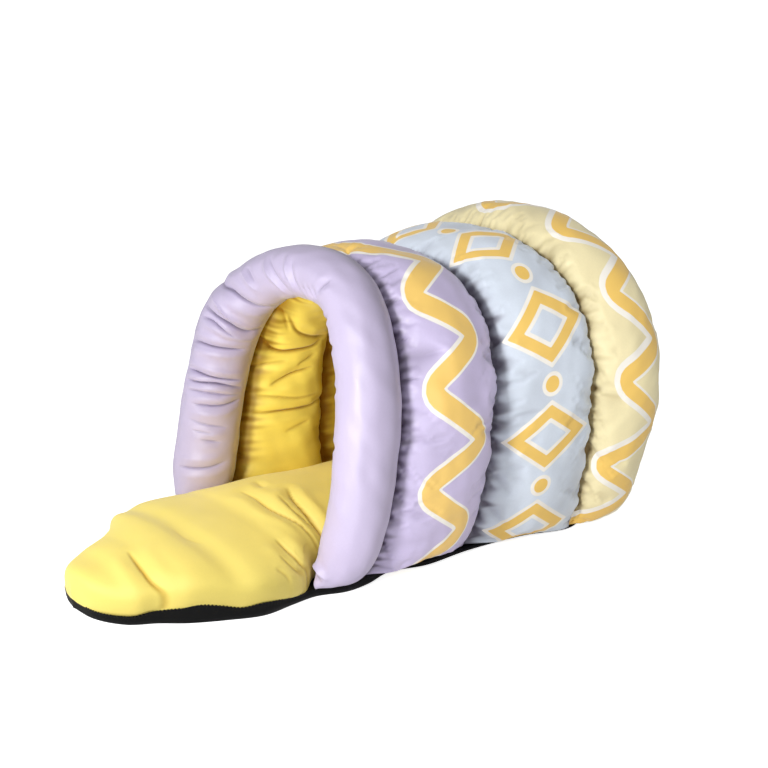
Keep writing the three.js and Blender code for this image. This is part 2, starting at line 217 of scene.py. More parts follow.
# Folds of the mat: depth, half width, and places across and along the bed.
MAT_FOLDS = (
    (6, 8, ((0, -171), (33, -177), (58, -179), (73, -175), (82, -170))),
    (8, 7, ((-6, 29), (14, 20), (31, 16), (79, 11), (104, 13))),
    (5, 7, ((-34, -12), (-9, -11), (23, -13), (67, -4), (96, -2))),
    (4, 6, ((8, 8), (36, 4), (74, 7))),
    (4.5, 8, ((76, -42), (100, -40), (113, -35), (113, -25))),
    (3.5, 7, ((100, -54), (116, -46), (117, -34))),
    (2, 6, ((112, -68), (122, -58))),
    (1, 9, ((-12, -113), (19, -115), (40, -108))),
    (2.5, 5, ((-50, 16), (-24, 9))),
    (4, 4, ((56, -214), (66, -224))),
)

# Upper edge of the underside, left and right, from the tip of the tongue to the closed end.
UNDERSIDE_ROWS = (
    (-18, -227, -18, -227),
    (-47, -220, 22, -222),
    (-64, -201, 53, -203),
    (-76, -171, 69, -178),
    (-87, -147, 87, -155),
    (-114, -122, 105, -122),
    (-132, -88, 120, -86),
    (-129, -52, 118, -52),
    (-128, -20, 117, -22),
    (-148, 10, 128, 10),
    (-146, 40, 127, 38),
    (-134, 85, 118, 74),
    (-127, 115, 129, 116),
    (-122, 175, 128, 176),
    (-136, 245, 136, 250),
    (-151, 308, 152, 310),
    (-120, 366, 120, 366),
    (-76, 424, 76, 424),
    (0, 427, 0, 427),
)
# How far its wall bulges, and how far it tucks in below.
UNDERSIDE_BULGE = 1.5
UNDERSIDE_TUCK = 3

# Stitches on that edge: pitch, how far they stand up and out, the width of the lip they stand on, and
# the place along the bed where they end, with the length of their fade.
STITCH_PITCH = 3.6
STITCH_HEIGHT = 2.2
STITCH_OUT = 2.4
STITCH_LIP = 1.2
STITCH_END = -30
STITCH_FADE = 20

# Mat and underside: the most that an edge is drawn in, as a share of the width, and the share of the
# rows that is left free at either end, where the piece closes.
TUCK_SHARE = 0.2
TIP_SHARE = 0.002

# Zigzag strokes: how far along from the band's top and how far from its front seam each turn lies.
ZIGZAGS = {
    "lilac": (
        (-10, 38), (24, 46), (47, 65), (64, 93), (94, 41), (140, 95), (181, 43), (235, 107),
        (276, 47), (327, 106), (384, 50),
    ),
    "cream": (
        (-21, 42), (30, 97), (76, 45), (118, 95), (154, 47), (193, 98), (233, 42), (273, 104),
        (326, 25), (358, 83), (408, 2),
    ),
}
# Half width of each gold stroke, and the widths of its pale rim on the two sides.
STROKES = {"lilac": (9.3, (4.2, 2.4)), "cream": (7.6, (6.5, 2.6))}
# Share of each stretch that its turns round off, points on a turn, and rounds that place the corners.
STROKE_ROUND = 0.5
STROKE_STEPS = 6
STROKE_ROUNDS = 12

# Row of lozenges on the blue band: half sizes along and across and stroke, the first one's place from
# the band's top, their pitch, their place from the front seam, their rim, and the dots between them.
LOZENGE = (27, 38, 11)
LOZENGE_START = 52
LOZENGE_PITCH = 108
LOZENGE_MIDDLE = 70
LOZENGE_RIM = 4
DOT_RADIUS = 8

# Stuffing lumps: waves in a sum, the shortest as a share of their length, and for each kind of piece
# the length and height of its slow and its fine lumps.
LUMP_WAVES = 7
LUMP_SHORTEST = 0.6
BAND_LUMPS = ((90, 0.9), (24, 0.3))
ROLL_LUMPS = ((110, 0.8), (26, 0.35))
MAT_LUMPS = ((130, 0.5), (40, 0.12))
END_LUMPS = (100, 0.9)

# Gathers, short ones and long ones: pitch, depth and reach.
BAND_GATHERS = ((11, 3, 12), (37, 3.2, 34))
LINING_GATHERS = ((11, 4.2, 12), (37, 3.2, 34))
END_GATHERS = ((13, 2.2, 12), (47, 2.2, 40))
# How uneven they are: least and further share of reach, of half width and of depth, how much one
# widens over its reach, how far it is shifted in its pitch, and how far it slants.
GATHER_REACH = (0.35, 1.3)
GATHER_WIDTH = (0.16, 0.16)
GATHER_DEPTH = (0.3, 0.7)
GATHER_WIDENING = 0.4
GATHER_SHIFT = 0.8
GATHER_SLANT = 0.5

# Seeds of the random draws. A band's are counted from its own seed.
BAND_SEED_STEP = 10
BAND_LUMP_SEEDS = (0, 50)
BAND_GATHER_SEEDS = (100, 200)
FRONT_SHADE_SEED = 300
BACK_SHADE_SEED = 400
ROLL_SEEDS = (5, 6)
MAT_SEEDS = (71, 72)
END_LUMP_SEED = 40
END_GATHER_SEEDS = (50, 60)

# Fold lines: points on a stretch, half width of the crease as a share of the fold's, share of the
# wide trough in the depth, how much shallower the ends are, the lip's height, place and width as
# shares, and the depths of a fold and of other relief where the painted shade is full.
FOLD_STEPS = 4
CREASE_SHARE = 0.24
TROUGH_SHARE = 0.5
FOLD_FADE = 0.8
LIP = 0.22
LIP_PLACE = 2
LIP_WIDTH = 0.9
FOLD_FULL_SHADE = 7
RELIEF_FULL_SHADE = 13

# Painted shade in the valleys at the seams: its strength, its reach from each band's front seam and
# from the back ones, how soft its edge is, the same two for the front lining, and the length and share
# of its unevenness.
SEAM_SHADE = 0.9
SEAM_SHADES = {"lilac": 13, "blue": 15, "cream": 7}
SEAM_SHADE_BACK = 5
SEAM_SHADE_SOFT = 3
LINING_SHADE = (22, 5)
SEAM_SHADE_UNEVEN = (10, 0.28)
# Distance from a seam within which the relief is sewn down.
SEWN_REACH = 2.5

# Cloth simulation: the coarse grid, the spare cloth as a share, the solver's values, the window of the
# even swell in columns, and the most that the cloth moves.
SIM_ACROSS = 36
SIM_ALONG = 200
SIM_EXCESS = 0.035
SIM_QUALITY = 4
SIM_BENDING = 0.5
SIM_PRESSURE = 6
SIM_FRAMES = 20
SIM_WINDOW = 31
SIM_CAP = 3.5

# Fineness of the pieces' grids and of the lines that they follow, and the angle in degrees past which
# an edge is shaded sharp.
ROLL_GRID = (96, 800)
MAT_GRID = (150, 8, 360)
END_PANEL_GRID = (60, 300)
END_LINING_GRID = (24, 160)
UNDERSIDE_GRID = (6, 1300)
BAND_GRID = (110, 640)
FRONT_LINING_GRID = (90, 520)
LINING_GRID = (50, 260)
FINE = 2000
SEAM_STEPS = 200
SHARP_ANGLE = 65

# How full of stuffing each kind of piece is.
ROLL_FILL = 0.85
BAND_FILL = 0.8
LINING_FILL = 0.7
MAT_FILL = 0.6
END_PANEL_FILL = 0.8
END_LINING_FILL = 0.6
UNDERSIDE_FILL = 0.2

# Dyed cloths: colour, colour of the painted shade in creases and seam valleys, and what sets each
# apart from plain satin.
CLOTHS = {
    # The roll's colour is a little darker and greyer than the lilac band's: the same lilac with painted
    # shade, as its lights reach it more strongly.
    "roll_cloth": ((207, 195, 226), (74, 58, 86), {"shine": 1.0}),
    "lilac_cloth": ((209, 197, 232), (74, 58, 86), {"printed": True, "shine": 1.0}),
    "blue_cloth": ((225, 234, 246), (108, 104, 118), {"printed": True}),
    "cream_cloth": ((251, 238, 190), (140, 116, 68), {"printed": True}),
    "plain_cream": ((251, 238, 190), (140, 116, 68), {}),
    "lining_cloth": ((254, 231, 106), (165, 118, 15), {}),
    "mat_cloth": ((252, 230, 120), (190, 148, 30), {}),
    "underside_cloth": ((12, 12, 13), (8, 8, 8), {"sheen": 0.0, "shine": 0.15}),
}
# Plain satin: sheen, its roughness, and shine.
SHEEN = 0.25
SHEEN_ROUGHNESS = 0.4
SHINE = 0.35
# Print: gold, its pale rim, and half the softness of their edges.
GOLD = (252, 209, 110)
RIM = (255, 250, 240)
PRINT_SOFT = 0.35
# Weave: threads in a metre of cloth, slant of the weft, gain and middle of the height, and the bump.
THREADS = 1500.0
WEFT_SLANT = 0.25
WEAVE_GAIN = 0.25
WEAVE_MIDDLE = 0.5
WEAVE_STRENGTH = 0.25
WEAVE_DEPTH = 0.0002
# Uneven dye: scale of the slow and of the fine noise and what each adds to the brightness, the least
# brightness, and the least roughness with what the fine noise adds.
SLOW_NOISE = (14.0, 0.10)
FINE_NOISE = (420.0, 0.06)
NOISE_DETAIL = 2.0
LEAST_BRIGHTNESS = 0.92
LEAST_ROUGHNESS = 0.40
ROUGHNESS_NOISE = 0.14

# Studio, in metres: the middle of the picture, the light of the surroundings, and the floor's reach,
# colour, glow towards the camera and drop below the bed.
TARGET = (-0.0183, 0.1736, 0.1576)
WHITE = (1, 1, 1, 1)
AMBIENT = 0.35
FLOOR_REACH = 40
FLOOR_COLOUR = (0.92, 0.92, 0.92, 1)
FLOOR_ROUGHNESS = 0.9
FLOOR_GLOW = 0.85
FLOOR_DROP = 0.0004

# Lights: name, place, aim, size, power in watts, spread in degrees, the pieces that it lights alone,
# and the pieces that it leaves out. The pieces are named in groups from inside to outside.
DEEP = ("lining_blue", "lining_cream", "end_lining")
MOUTH = ("mouth_roll", "lining_lilac")
FRONT = ("mat", *MOUTH)
REAR = ("band_blue", "band_cream", "end_panel")
LIGHTS = (
    ("key", (0.83, -1.47, 1.0), TARGET, 0.3, 26, 180, (), (*DEEP, *FRONT, "band_blue")),
    ("key_front", (0.65, -1.65, 0.75), (0.25, 0, 0.15), 0.3, 3.9, 70, MOUTH, ()),
    ("key_blue", (0.4, -1.65, 1.05), TARGET, 0.3, 29, 180, ("band_blue",), ()),
    ("left_front", (-1.377, -1.5, 0.746), TARGET, 0.8, 3.8, 180, (), (*DEEP, "mat")),
    ("on_mat", (-0.1, -1.55, 1.25), (0, -0.05, 0.05), 1.9, 42, 180, ("mat",), ()),
    ("right_fill", (1.75, 0.65, 0.75), TARGET, 1.5, 5.5, 180, REAR, ()),
    ("low_right", (1.6, -0.2, 0.25), (0.15, 0.1, 0.1), 0.6, 3.2, 180, ("band_lilac",), ()),
    ("into_mouth", (0.30, -0.55, 0.1), (-0.06, 0.09, 0.30), 0.1, 0.25, 50, ("lining_lilac",), ()),
)

# Camera: turn to the right of the mouth's axis and tilt, in degrees, its distance from the target, and
# its focal length as a share of the sensor's width, which is in millimetres.
CAMERA_TURN = 51.3
CAMERA_TILT = 17.2
CAMERA_DISTANCE = 1.6054
CAMERA_FOCAL = 1405.9 / 768
SENSOR = 36


def bell(x, width):
    """A bell of height 1 about 0: exp of minus the square of x over width."""
    return np.exp(-((x / width) ** 2))


def unit(vectors):
    """Vectors scaled to length 1 along the last axis."""
    return vectors / np.maximum(np.linalg.norm(vectors, axis=-1, keepdims=True), TINY)


def seam_height(y):
    """Height of the seam with the underside, on a smooth line through its rows."""
    line = smooth_line(SEAM_ROWS, np.linspace(0, 1, SEAM_STEPS))
    return np.interp(y, line[:, 0], line[:, 1])


def fullness(share, length, rounding):
    """Fullness of stuffing near the two ends of a length: a quarter circle from 0 at an end to 1."""
    from_end = np.minimum(share, 1 - share) * length
    rest = 1 - np.minimum(from_end / rounding, 1)
    return np.sqrt(1 - rest**2)


def smooth_line(rows, share):
    """Centripetal Catmull-Rom line through the rows, at shares of its number of stretches."""
    rows = np.asarray(rows, float)
    padded = np.vstack([2 * rows[0] - rows[1], rows, 2 * rows[-1] - rows[-2]])
    place = np.clip(share, 0, 1) * (len(rows) - 1)
    first = np.minimum(place.astype(int), len(rows) - 2)
    t = (place - first)[:, None]
    p0, p1, p2, p3 = (padded[first + i] for i in range(4))
    d0, d1, d2 = (
        np.sqrt(np.linalg.norm(b - a, axis=1, keepdims=True))
        for a, b in ((p0, p1), (p1, p2), (p2, p3))
    )
    m1 = d1 * ((p1 - p0) / d0 - (p2 - p0) / (d0 + d1) + (p2 - p1) / d1)
    m2 = d1 * ((p2 - p1) / d1 - (p3 - p1) / (d1 + d2) + (p3 - p2) / d2)
    start = (2 * t**3 - 3 * t**2 + 1) * p1 + (t**3 - 2 * t**2 + t) * m1
    return start + (3 * t**2 - 2 * t**3) * p2 + (t**3 - t**2) * m2


def at_length(line, share):
    """Places, directions and length of a finely sampled line at shares of its length."""
    steps = np.linalg.norm(np.diff(line, axis=0), axis=1)
    run = np.concatenate([[0], np.cumsum(steps)])
    slopes = unit(np.gradient(line, axis=0))
    places, directions = (
        np.stack([np.interp(share * run[-1], run, column) for column in values.T], axis=1)
        for values in (line, slopes)
    )
    return places, directions, run[-1]


def roll_frame(share):
    """The roll at shares of its length: centre, outward and backward directions, the half
    thicknesses along those two, and the length. Its plane leans back, and its ends flatten."""
    line = smooth_line(ROLL_SECTIONS, np.linspace(0, 1, FINE))
    places, along, length = at_length(line, share)
    slope = math.tan(math.radians(ROLL_LEAN))
    full = fullness(share, length, ROLL_FLAT)
    lean = math.radians(ROLL_LEAN) * full
    x, rise, radius = places.T
    foot = seam_height(0) + GAP
    centre = np.stack([x, rise * slope, foot + rise], axis=1)
    outwards = unit(np.stack([-along[:, 1], along[:, 0] * slope, along[:, 0]], axis=1))
    backwards = np.stack([0 * lean, np.cos(lean), -np.sin(lean)], axis=1)
    depth = radius * (ROLL_SEAM_SHARE + (1 - ROLL_SEAM_SHARE) * full)
    return centre, outwards, backwards, radius * full, depth, length


def seam_arch(name, share):
    """Places, outward directions and length of a seam arch. The first one follows the back of the
    roll. Another is a leg, two shoulders and a second leg: each leg is a Bezier curve of the second
    degree that straightens upwards, and each shoulder one of the third degree."""
    if name == "mouth":
        centre, outwards, backwards, _, depth, length = roll_frame(share)
        return centre + backwards * (depth + 2 * GAP)[:, None], outwards, length
    y, lean, half_width, waist, height, shoulder, foot_half_width, tilt, skew = ARCHES[name]
    foot = seam_height(y) + GAP
    knee = (waist + foot) / 2
    t = np.linspace(0, 1, FINE)
    across = foot_half_width * (1 - t) ** 2 + half_width * (1 - (1 - t) ** 2)
    up = foot * (1 - t) ** 2 + knee * 2 * t * (1 - t) + waist * t**2
    near, far = 3 * (1 - t) ** 2 * t, 3 * (1 - t) * t**2
    inwards = half_width * ((1 - t) ** 3 + near + far * shoulder)
    rising = waist + (height - waist) * (near * shoulder + far + t**3)
    across = np.concatenate([across, inwards[1:]])
    up = np.concatenate([up, rising[1:]])
    line = np.stack(
        [np.concatenate([-across, across[-2::-1]]), np.concatenate([up, up[-2::-1]])], axis=1
    )
    places, along, length = at_length(line, share)
    x, z = places.T
    back = y + skew * x / half_width + (z - foot) * math.tan(math.radians(lean))
    tilted = np.full_like(x, math.tan(math.radians(tilt)))
    outwards = unit(np.stack([-along[:, 1], tilted, along[:, 0]], axis=1))
    return np.stack([x, back, z], axis=1), outwards, length


def band_cloth(name, side, across, along):
    """One half of a band as a grid: half an ellipse from seam to seam, which rises more slowly
    from the front one, carried along the two arches.
    Also gives the cloth's own sizes there: how far along from its top, how far from the front seam,
    and its whole width."""
    front_name, back_name, outside, inside, droop = BANDS[name]
    share = np.linspace(0, 1, along + 1)
    front, front_out, length = seam_arch(front_name, share)
    back, back_out, back_length = seam_arch(back_name, share)
    angle = np.linspace(0, math.pi, across + 1)[:, None, None]
    part = (1 - np.cos(angle)) / 2
    span = back - front
    room = np.linalg.norm(span, axis=1, keepdims=True) - GAP
    out = unit(front_out * (1 - part) + back_out * part)
    out[..., 2] = np.maximum(out[..., 2], -droop)
    full = FOOT_SHARE + (1 - FOOT_SHARE) * fullness(share, length, FOOT_ROUND)
    swell = (outside if side > 0 else inside) * full[:, None]
    cloth = front + unit(span) * (GAP / 2 + room * part)
    lift = np.sin(angle) ** np.where(angle < math.pi / 2, FRONT_POWER, 1)
    cloth = cloth + side * out * (lift * swell + GAP / 2)
    from_top = (share - 0.5) * (length + back_length) / 2
    steps = np.linalg.norm(np.diff(cloth, axis=0), axis=2)
    from_seam = np.concatenate([np.zeros((1, along + 1)), np.cumsum(steps, axis=0)])
    return cloth, np.broadcast_to(from_top, from_seam.shape), from_seam, from_seam[-1:]


def cloth_normals(grid, side):
    """Directions away from the filling on a grid of places: the cross product of its two slopes."""
    return side * unit(np.cross(np.gradient(grid, axis=1), np.gradient(grid, axis=0)))


def lumps(a, b, size, height, seed):
    """Uneven stuffing: the sum of slow waves that run in seeded directions, about size long."""
    draws = np.random.default_rng(seed).uniform(0, 1, (LUMP_WAVES, 3))
    total = 0
    for turn, phase, stretch in draws:
        run = a * math.cos(turn * math.pi) + b * math.sin(turn * math.pi)
        total = total + np.sin(2 * math.pi * (run / (size * (LUMP_SHORTEST + stretch)) + phase))
    return height * total / math.sqrt(LUMP_WAVES)


def stuffing(a, b, waves, seeds):
    """Slow and fine lumps in one sum, each with its own length, height and seed."""
    return sum(lumps(a, b, *wave, seed) for wave, seed in zip(waves, seeds))


def gathers(along, from_seam, pitch, depth, reach, seed):
    """Puckers where cloth is gathered into a seam: bells at uneven steps along it, each a little
    slanted and fading out at its own reach. Gives their depth."""
    rng = np.random.default_rng(seed)
    low, high = along.min(), along.max()
    places = np.arange(low, high, pitch)
    draws = rng.uniform(0, 1, (len(places), 5))
    total = 0
    for place, (shift, deep, far, slant, wide) in zip(places, draws):
        far = reach * (GATHER_REACH[0] + GATHER_REACH[1] * far**2)
        narrow = pitch * (GATHER_WIDTH[0] + GATHER_WIDTH[1] * wide)
        width = narrow * (1 + GATHER_WIDENING * from_seam / far)
        off = along - place - pitch * GATHER_SHIFT * (shift - 0.5)
        off = off - GATHER_SLANT * (slant - 0.5) * from_seam
        fade = bell(off, width) * np.exp(-from_seam / far)
        total = total + depth * (GATHER_DEPTH[0] + GATHER_DEPTH[1] * deep) * fade
    return total


def seam_shade(from_seam, along, reach, soft, seed):
    """Painted shade in the valley at a seam: even up to an uneven reach, then a soft step down."""
    uneven = reach * (1 + lumps(along, 0 * along, *SEAM_SHADE_UNEVEN, seed))
    return SEAM_SHADE / (1 + np.exp((from_seam - uneven) / soft))


def resampled(values, count):
    """Rows of values at a new number of even places, on Catmull-Rom curves through the old ones."""
    place = np.linspace(0, len(values) - 1, count)
    first = np.minimum(place.astype(int), len(values) - 2)
    t = (place - first)[:, None]
    padded = np.concatenate([values[:1], values, values[-1:]])
    p0, p1, p2, p3 = (padded[first + i] for i in range(4))
    bend = 2 * p0 - 5 * p1 + 4 * p2 - p3 + t * (3 * (p1 - p2) + p3 - p0)
    return p1 + t / 2 * (p2 - p0 + t * bend)


def simulated(grid, side, excess):
    """Cloth simulation of a stuffed skin: the cloth is cut too large by a share, sewn down along the
    four edges of its grid and blown up. Gives how far it moves along its normals. The even swell is
    taken off, as the mean along each row under a slow window, and the rest is capped."""
    rows, columns = grid.shape[:2]
    index = np.arange(rows * columns).reshape(rows, columns)
    faces = np.stack([index[:-1, :-1], index[:-1, 1:], index[1:, 1:], index[1:, :-1]], axis=-1)
    mesh = bpy.data.meshes.new("skin")
    faces = faces.reshape(-1, 4)[:, ::side]
    mesh.from_pydata((grid.reshape(-1, 3) * MM).tolist(), [], faces.tolist())
    skin = bpy.data.objects.new("skin", mesh)
    bpy.context.scene.collection.objects.link(skin)
    edges = np.concatenate([index[0], index[-1], index[:, 0], index[:, -1]])
    skin.vertex_groups.new(name="sewn").add(edges.tolist(), 1.0, "REPLACE")
    modifier = skin.modifiers.new("stuffing", "CLOTH")
    modifier.collision_settings.use_collision = False
    cloth = modifier.settings
    cloth.quality = SIM_QUALITY
    cloth.vertex_group_mass = "sewn"
    cloth.bending_stiffness = SIM_BENDING
    cloth.use_pressure = True
    cloth.uniform_pressure_force = SIM_PRESSURE
    cloth.shrink_min = -excess
    cloth.effector_weights.gravity = 0
    for moment in range(1, SIM_FRAMES + 1):
        bpy.context.scene.frame_set(moment)
    settled = skin.evaluated_get(bpy.context.evaluated_depsgraph_get()).to_mesh()
    places = np.empty(rows * columns * 3, np.float32)
    settled.vertices.foreach_get("co", places)
    bpy.data.objects.remove(skin)
    bpy.context.scene.frame_set(1)
    moved = ((places.reshape(grid.shape) / MM - grid) * cloth_normals(grid, side)).sum(-1)
    window = np.hanning(SIM_WINDOW) / np.hanning(SIM_WINDOW).sum()
    padded = np.pad(moved, ((0, 0), (SIM_WINDOW // 2, SIM_WINDOW // 2)), mode="edge")
    moved = moved - np.array([np.convolve(row, window, "valid") for row in padded])
    return SIM_CAP * np.tanh(moved / SIM_CAP)


def line_distance(points, a, b):
    """Nearest distance to a line of straight stretches, the share of its length that is passed there,
    and on which side of the line a place lies (1 or -1)."""
    run = np.concatenate([[0], np.cumsum(np.linalg.norm(np.diff(points, axis=0), axis=1))])
    nearest = np.full(np.broadcast(a, b).shape, np.inf)
    passed, side = np.zeros_like(nearest), np.ones_like(nearest)
    for index, ((a0, b0), (a1, b1)) in enumerate(zip(points[:-1], points[1:])):
        da, db = a1 - a0, b1 - b0
        share = np.clip(((a - a0) * da + (b - b0) * db) / (da**2 + db**2), 0, 1)
        off = np.hypot(a - a0 - share * da, b - b0 - share * db)
        closer = off < nearest
        nearest = np.where(closer, off, nearest)
        passed = np.where(closer, run[index] + share * (run[index + 1] - run[index]), passed)
        side = np.where(closer, np.sign((a - a0) * db - (b - b0) * da), side)
    return nearest, passed / run[-1], side


def fold_lines(rows, a, b):
    """Folds as soft troughs about smooth lines: a wide bell of the distance, a narrow one for the
    crease, and a low lip on both sides. Each is shallower towards its ends. Gives their depth, and
    how far a place lies in a crease, 0 to 1, which sets the painted shade there."""
    total, painted_shade = 0, 0
    for depth, width, points in rows:
        points = np.asarray(points, float)
        if len(points) > 2:
            points = smooth_line(points, np.linspace(0, 1, FOLD_STEPS * (len(points) - 1) + 1))
        off, passed, _ = line_distance(points, a, b)
        ends = 1 - FOLD_FADE * np.abs(2 * passed - 1) ** 3
        narrow = bell(off, CREASE_SHARE * width)
        trough = TROUGH_SHARE * bell(off, width) + (1 - TROUGH_SHARE) * narrow
        trough = trough - LIP * bell(off - LIP_PLACE * width, LIP_WIDTH * width)
        total = total + depth * ends * trough
        painted_shade = np.maximum(painted_shade, ends * narrow * min(max(depth, 0) / FOLD_FULL_SHADE, 1))
    return total, painted_shade


def rounded(turns):
    """A line of straight stretches and parabolas whose tips are the turns: each corner under a
    parabola lies beyond its turn by a share of the bend there."""
    turns = np.asarray(turns, float)
    corners = turns.copy()
    for _ in range(STROKE_ROUNDS):
        bend = corners[:-2] + corners[2:] - 2 * corners[1:-1]
        corners[1:-1] = turns[1:-1] - STROKE_ROUND / 8 * bend
    middles = (corners[1:] + corners[:-1]) / 2
    t = np.linspace(0, 1, STROKE_STEPS + 1)[:, None]
    line = [corners[:1]]
    for before, corner, after in zip(middles[:-1], corners[1:-1], middles[1:]):
        start = corner + (before - corner) * STROKE_ROUND
        stop = corner + (after - corner) * STROKE_ROUND
        line.append(start * (1 - t) ** 2 + corner * 2 * t * (1 - t) + stop * t**2)
    return np.concatenate([*line, corners[-1:]])


def zigzag_print(turns, half_width, rims, a, b):
    """Distances from the edge of the gold stroke and from the edge of its pale rim, below 0 inside.
    The turns are given for one half, and the other half mirrors them about the first turn."""
    first = turns[0][0]
    mirrored = [(2 * first - along, across) for along, across in turns[:0:-1]]
    distance, _, side = line_distance(rounded([*mirrored, *turns]), a, b)
    gold = distance - half_width
    return gold, gold - np.where(side > 0, rims[0], rims[1])


def lozenge_print(a, b):
    """Distances from the edge of a row of gold lozenge rings with dots between them, and of their
    pale rims, below 0 inside. A lozenge's edge is where the shares of its two half sizes sum to 1."""
    half_a, half_b, stroke = LOZENGE
    step = (a - LOZENGE_START) / LOZENGE_PITCH
    off_a = (step - np.round(step)) * LOZENGE_PITCH
    off_b = b - LOZENGE_MIDDLE
    scale = half_a * half_b / math.hypot(half_a, half_b)
    edge = (np.abs(off_a) / half_a + np.abs(off_b) / half_b - 1) * scale
    ring = np.abs(edge) - stroke / 2
    dot = np.hypot(np.abs(off_a) - LOZENGE_PITCH / 2, off_b) - DOT_RADIUS
    gold = np.minimum(ring, dot)
    return gold, gold - LOZENGE_RIM


def closed_piece(name, rings, sizes, marks, outward):
    """A closed mesh: rings of places one after the other, each end closed at its middle. sizes are
    the cloth's own sizes there, kept as the UV map, and marks are values kept as attributes."""
    count, around = rings.shape[:2]
    body = count * around
    middles = [rings[0].mean(0)[None], rings[-1].mean(0)[None]]
    places = np.concatenate([rings.reshape(-1, 3), *middles])
    col = np.arange(around)
    after = (col + 1) % around
    start = np.stack([after, col, np.full(around, body)], axis=1)
    stop = np.stack([col, after, np.full(around, body + 1)], axis=1)
    stop[:, :2] += body - around
    wide = np.concatenate([sizes, sizes[:, -1:]], axis=1)
    start_uv = np.stack([wide[0, col + 1], wide[0, col], wide[0, col]], axis=1)
    stop_uv = np.stack([wide[-1, col], wide[-1, col + 1], wide[-1, col]], axis=1)
    row, col = (x.ravel() for x in np.meshgrid(np.arange(count - 1), col, indexing="ij"))
    quads = np.stack([row * around + col, row * around + (col + 1) % around], axis=1)
    quads = np.concatenate([quads, quads[:, ::-1] + around], axis=1)
    corners = ((0, 0), (0, 1), (1, 1), (1, 0))
    quad_uv = np.stack([wide[row + i, col + j] for i, j in corners], axis=1)
    if outward < 0:
        quads, quad_uv = quads[:, ::-1], quad_uv[:, ::-1]
        start, start_uv = start[:, ::-1], start_uv[:, ::-1]
        stop, stop_uv = stop[:, ::-1], stop_uv[:, ::-1]
    mesh = bpy.data.meshes.new(f"{name}_cloth")
    faces = [*quads.tolist(), *start.tolist(), *stop.tolist()]
    mesh.from_pydata((places * MM).tolist(), [], faces)
    uv = np.concatenate([x.reshape(-1, 2) for x in (quad_uv, start_uv, stop_uv)]) * MM
    mesh.uv_layers.new(name="cloth").uv.foreach_set("vector", uv.astype(np.float32).ravel())
    for mark, values in marks.items():
        values = np.concatenate([values.ravel(), [values[0].mean()], [values[-1].mean()]])
        attribute = mesh.attributes.new(mark, "FLOAT", "POINT")
        attribute.data.foreach_set("value", values.astype(np.float32))
    mesh.shade_smooth()
    mesh.set_sharp_from_angle(angle=math.radians(SHARP_ANGLE))
    piece = bpy.data.objects.new(f"{name}_cloth", mesh)
    bpy.context.scene.collection.objects.link(piece)
    return piece


def on_floor(grid):
    """Keeps places above the seam with the underside: the higher of the two heights."""
    floor = seam_height(grid[..., 1]) + GAP
    grid[..., 2] = np.maximum(grid[..., 2], floor)
    return grid


def band_piece(name, side, across, along):
    """One half of a band: its cloth, moved along its normals by stuffing lumps, gathers at its two
    seams, on the outer side a simulation, and on the first band the folds of its outer side or of the
    left wall of its lining. Its feet stand on the underside."""
    cloth, from_top, from_seam, width = band_cloth(name, side, across, along)
    seed = 1 + sorted(BANDS).index(name) * BAND_SEED_STEP + side
    relief = stuffing(from_top, from_seam, BAND_LUMPS, [seed + step for step in BAND_LUMP_SEEDS])
    from_back = width - from_seam
    for near, edge in ((from_seam, 1), (from_back, 2)):
        for row, step in zip(BAND_GATHERS if side > 0 else LINING_GATHERS, BAND_GATHER_SEEDS):
            relief = relief - gathers(from_top, near, *row, seed + step * edge)
    if side > 0:
        skin, _, _, _ = band_cloth(name, side, SIM_ACROSS, SIM_ALONG)
        moved = simulated(skin, side, SIM_EXCESS)
        relief = relief + resampled(resampled(moved, across + 1).T, along + 1).T
    # Painted shade: darker colour where the relief dips and in the folds.
    painted_shade = np.clip(-relief / RELIEF_FULL_SHADE, 0, 1)
    if name == "lilac":
        on_lining = side < 0
        rows = LINING_FOLDS if on_lining else LILAC_FOLDS
        where = (cloth[..., 1], cloth[..., 2]) if on_lining else (from_top, from_seam)
        folds, lines = fold_lines(rows, *where)
        shown = (cloth[..., 0] < 0) | (side > 0)
        relief = relief - np.where(shown, folds, 0)
        painted_shade = np.maximum(painted_shade, np.where(shown, lines, 0))
    # Painted shade in the seam valleys, wider on the front lining beside the roll.
    front_shade = (SEAM_SHADES[name], SEAM_SHADE_SOFT)
    if name == "lilac" and side < 0:
        front_shade = LINING_SHADE
    back_shade = (SEAM_SHADE_BACK, SEAM_SHADE_SOFT)
    painted_shade = painted_shade + seam_shade(from_seam, from_top, *front_shade, seed + FRONT_SHADE_SEED)
    painted_shade = painted_shade + seam_shade(from_back, from_top, *back_shade, seed + BACK_SHADE_SEED)
    sewn = 1 - bell(np.minimum(from_seam, from_back), SEWN_REACH)
    shaped = on_floor(cloth + cloth_normals(cloth, side) * (relief * sewn)[..., None])
    shaped[:, (0, -1), 2] = seam_height(shaped[:, (0, -1), 1]) + GAP
    marks = {"painted_shade_mark": np.minimum(painted_shade, 1).T}
    if side > 0:
        if name in ZIGZAGS:
            gold, rim = zigzag_print(ZIGZAGS[name], *STROKES[name], from_top, from_seam)
        else:
            gold, rim = lozenge_print(from_top, from_seam)
        marks |= {"gold": gold.T, "rim": rim.T}
    sizes = np.stack([from_top, from_seam], axis=-1).transpose(1, 0, 2)
    label = f"band_{name}" if side > 0 else f"lining_{name}"
    return label, closed_piece(label, shaped.transpose(1, 0, 2), sizes, marks, -side)


